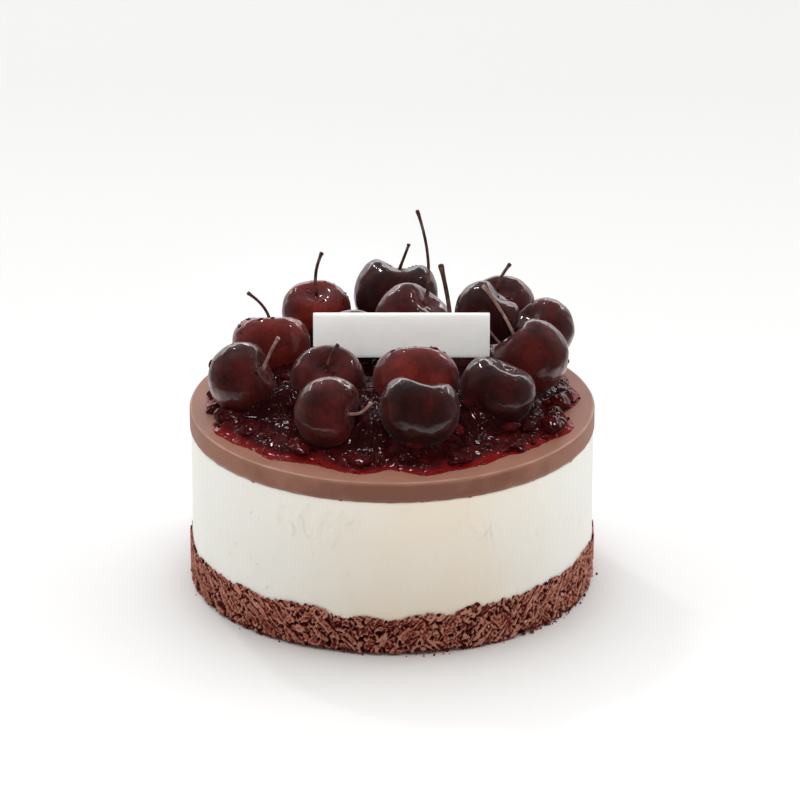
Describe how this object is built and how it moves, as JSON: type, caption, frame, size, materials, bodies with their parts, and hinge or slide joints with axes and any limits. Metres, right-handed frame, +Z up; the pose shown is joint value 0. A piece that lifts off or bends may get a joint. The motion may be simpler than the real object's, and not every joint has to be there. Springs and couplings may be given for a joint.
{
  "type": "black forest cheesecake",
  "caption": "Round layered cheesecake on a dark crumb base, with a milk chocolate disc, cherry compote, a heap of glazed whole cherries and a bare white plaque.",
  "frame": {"origin": "middle of the flat underside of the crumb base", "axes": "+Z up through the layers, -Y towards the front that the plaque faces, +X to the right seen from the front"},
  "size_m": [0.13, 0.13, 0.1124],
  "materials": {
    "crumb": "rough broken chocolate biscuit crumb",
    "cream": "smooth set cream cheese, faintly moist",
    "chocolate": "smooth satin milk chocolate",
    "compote": "wet glossy dark cherry compote",
    "cherry": "glossy glazed dark cherry skin",
    "stem": "dry woody stem under a thin glaze",
    "plaque": "plain satin white chocolate"
  },
  "bodies": {
    "root": {"crumb_base": "crumb", "cream_layer": "cream", "chocolate_disc": "chocolate", "cherry_compote": "compote", "cherry_1": "cherry", "cherry_2": "cherry", "cherry_3": "cherry", "cherry_4": "cherry", "cherry_5": "cherry", "cherry_6": "cherry", "cherry_7": "cherry", "cherry_8": "cherry", "cherry_9": "cherry", "cherry_10": "cherry", "cherry_11": "cherry", "cherry_12": "cherry", "cherry_13": "cherry", "cherry_14": "cherry", "cherry_15": "cherry", "cherry_16": "cherry", "stem_1": "stem", "stem_2": "stem", "stem_3": "stem", "stem_4": "stem", "stem_6": "stem", "stem_8": "stem", "stem_12": "stem", "stem_13": "stem", "stem_14": "stem", "stem_15": "stem", "loose_stem": "stem", "plaque": "plaque"}
  },
  "joints": []
}
